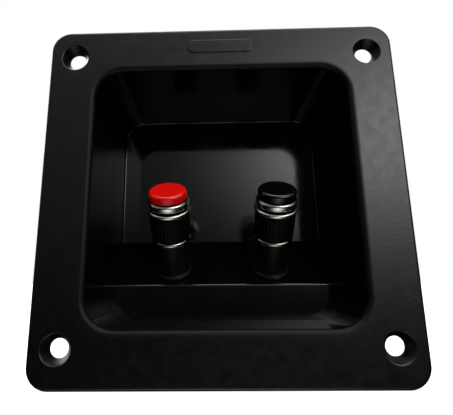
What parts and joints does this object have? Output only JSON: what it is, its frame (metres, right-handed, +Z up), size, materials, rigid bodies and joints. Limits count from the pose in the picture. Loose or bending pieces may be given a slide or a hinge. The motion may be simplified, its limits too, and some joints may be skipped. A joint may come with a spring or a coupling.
{
  "type": "loudspeaker terminal cup",
  "caption": "Square recessed loudspeaker terminal cup in black moulded plastic, with red and black binding posts set at a slant on a sloped inner panel.",
  "frame": {"origin": "centre of the flange's back face, the plane that seats on the cabinet panel", "axes": "+X to the right and +Z up as seen by the user, +Y from the front into the cabinet"},
  "size_m": [0.1, 0.0411, 0.1],
  "materials": {
    "cup_plastic": "moulded black ABS, satin flange and glossy recess",
    "black_insulator": "moulded black nylon",
    "red_cap_plastic": "moulded red ABS, smooth",
    "black_cap_plastic": "moulded black ABS, smooth",
    "plated_brass": "bright nickel plate on turned brass",
    "plated_steel": "zinc plated spring steel",
    "tinned_brass": "tinned stamped brass"
  },
  "bodies": {
    "root": {"terminal_cup": "cup_plastic", "red_stud": "plated_brass", "red_collar": "black_insulator", "red_rear_bush": "black_insulator", "red_lock_washer": "plated_steel", "red_clamp_nut": "plated_brass", "red_solder_lug": "tinned_brass", "red_lug_nut": "plated_brass", "black_stud": "plated_brass", "black_collar": "black_insulator", "black_rear_bush": "black_insulator", "black_lock_washer": "plated_steel", "black_clamp_nut": "plated_brass", "black_solder_lug": "tinned_brass", "black_lug_nut": "plated_brass"},
    "red_clamp": {"red_clamp_washer": "plated_brass"},
    "red_knob": {"red_thumb_nut": "plated_brass", "red_grip_sleeve": "black_insulator", "red_cap": "red_cap_plastic"},
    "black_clamp": {"black_clamp_washer": "plated_brass"},
    "black_knob": {"black_thumb_nut": "plated_brass", "black_grip_sleeve": "black_insulator", "black_cap": "black_cap_plastic"}
  },
  "joints": [
    {"name": "red_clamp_travel", "type": "slide", "parent": "root", "child": "red_clamp", "axis": [0, -0.6494, 0.7604], "range_m": [0, 0.0035]},
    {"name": "red_knob_turn", "type": "hinge", "parent": "red_clamp", "child": "red_knob", "pos_m": [-0.01525, 0.01802, -0.02026], "axis": [0, -0.6494, 0.7604], "range_deg": [0, 1800]},
    {"name": "black_clamp_travel", "type": "slide", "parent": "root", "child": "black_clamp", "axis": [0, -0.6494, 0.7604], "range_m": [0, 0.0035]},
    {"name": "black_knob_turn", "type": "hinge", "parent": "black_clamp", "child": "black_knob", "pos_m": [0.01525, 0.01802, -0.02026], "axis": [0, -0.6494, 0.7604], "range_deg": [0, 1800]}
  ],
  "couplings": [
    {"joint": "red_clamp_travel", "follows": "red_knob_turn", "m_per_rad": 0.0001114},
    {"joint": "black_clamp_travel", "follows": "black_knob_turn", "m_per_rad": 0.0001114}
  ]
}
